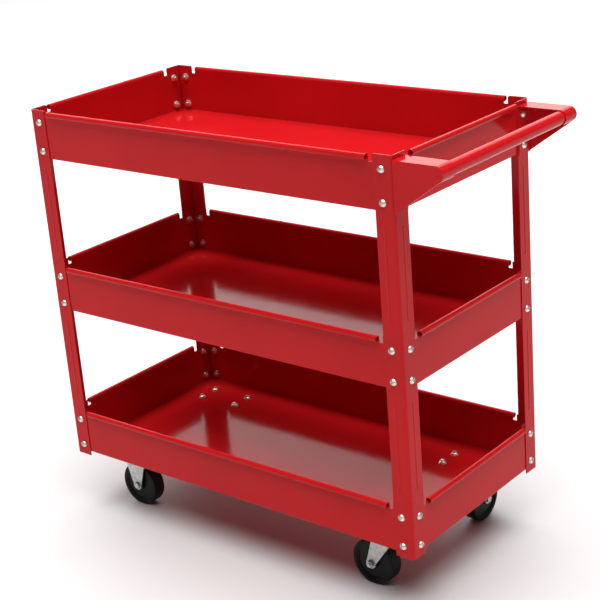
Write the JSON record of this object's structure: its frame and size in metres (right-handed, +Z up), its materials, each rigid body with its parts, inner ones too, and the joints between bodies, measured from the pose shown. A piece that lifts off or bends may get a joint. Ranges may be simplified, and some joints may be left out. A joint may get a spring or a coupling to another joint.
{
  "type": "tool cart",
  "caption": "Open metal tool cart with stacked shallow trays on corner posts, a tube push handle at one end, and castors under the bottom tray.",
  "frame": {"origin": "on the floor, under the middle of the bounding box", "axes": "+X along the length, towards the push handle; +Y across the width, towards the rear; +Z up"},
  "size_m": [0.7858, 0.3554, 0.7],
  "materials": {
    "paint": "glossy red powder coat",
    "zinc": "zinc plated, satin",
    "wheel_plastic": "moulded",
    "tyre_rubber": "matt"
  },
  "bodies": {
    "cart": {"tray_top": "paint", "tray_middle": "paint", "tray_bottom": "paint", "post_front_left": "paint", "post_front_right": "paint", "post_rear_left": "paint", "post_rear_right": "paint", "handle_tube": "paint", "handle_bracket_front": "paint", "handle_bracket_rear": "paint", "screws_top": "zinc", "screws_middle": "zinc", "screws_bottom": "zinc", "nuts_top": "zinc", "nuts_middle": "zinc", "nuts_bottom": "zinc", "castor_screws": "zinc", "castor_nuts": "zinc", "plate_front_left": "zinc", "plate_rear_left": "zinc", "plate_front_right": "zinc", "plate_rear_right": "zinc", "fork_front_left": "zinc", "fork_rear_left": "zinc", "kingpin_front_right": "zinc", "kingpin_rear_right": "zinc", "axle_bolt_front_left": "zinc", "axle_bolt_rear_left": "zinc", "axle_nut_front_left": "zinc", "axle_nut_rear_left": "zinc", "axle_sleeve_front_left": "zinc", "axle_sleeve_rear_left": "zinc"},
    "swivel_front_right": {"fork_front_right": "zinc", "swivel_balls_front_right": "zinc", "axle_bolt_front_right": "zinc", "axle_nut_front_right": "zinc", "axle_sleeve_front_right": "zinc"},
    "swivel_rear_right": {"fork_rear_right": "zinc", "swivel_balls_rear_right": "zinc", "axle_bolt_rear_right": "zinc", "axle_nut_rear_right": "zinc", "axle_sleeve_rear_right": "zinc"},
    "wheel_front_left": {"wheel_core_front_left": "wheel_plastic", "tyre_front_left": "tyre_rubber"},
    "wheel_rear_left": {"wheel_core_rear_left": "wheel_plastic", "tyre_rear_left": "tyre_rubber"},
    "wheel_front_right": {"wheel_core_front_right": "wheel_plastic", "tyre_front_right": "tyre_rubber"},
    "wheel_rear_right": {"wheel_core_rear_right": "wheel_plastic", "tyre_rear_right": "tyre_rubber"}
  },
  "joints": [
    {"name": "swivel_front_right_turn", "type": "hinge", "parent": "cart", "child": "swivel_front_right", "pos_m": [0.22535, -0.11, 0.095], "axis": [0, 0, 1], "continuous": true},
    {"name": "swivel_rear_right_turn", "type": "hinge", "parent": "cart", "child": "swivel_rear_right", "pos_m": [0.22535, 0.11, 0.095], "axis": [0, 0, 1], "continuous": true},
    {"name": "wheel_front_left_spin", "type": "hinge", "parent": "cart", "child": "wheel_front_left", "pos_m": [-0.29865, -0.11, 0.0375], "axis": [0, 1, 0], "continuous": true},
    {"name": "wheel_rear_left_spin", "type": "hinge", "parent": "cart", "child": "wheel_rear_left", "pos_m": [-0.29865, 0.11, 0.0375], "axis": [0, 1, 0], "continuous": true},
    {"name": "wheel_front_right_spin", "type": "hinge", "parent": "swivel_front_right", "child": "wheel_front_right", "pos_m": [0.19835, -0.11, 0.0375], "axis": [0, 1, 0], "continuous": true},
    {"name": "wheel_rear_right_spin", "type": "hinge", "parent": "swivel_rear_right", "child": "wheel_rear_right", "pos_m": [0.22535, 0.137, 0.0375], "axis": [-1, 0, 0], "continuous": true}
  ]
}
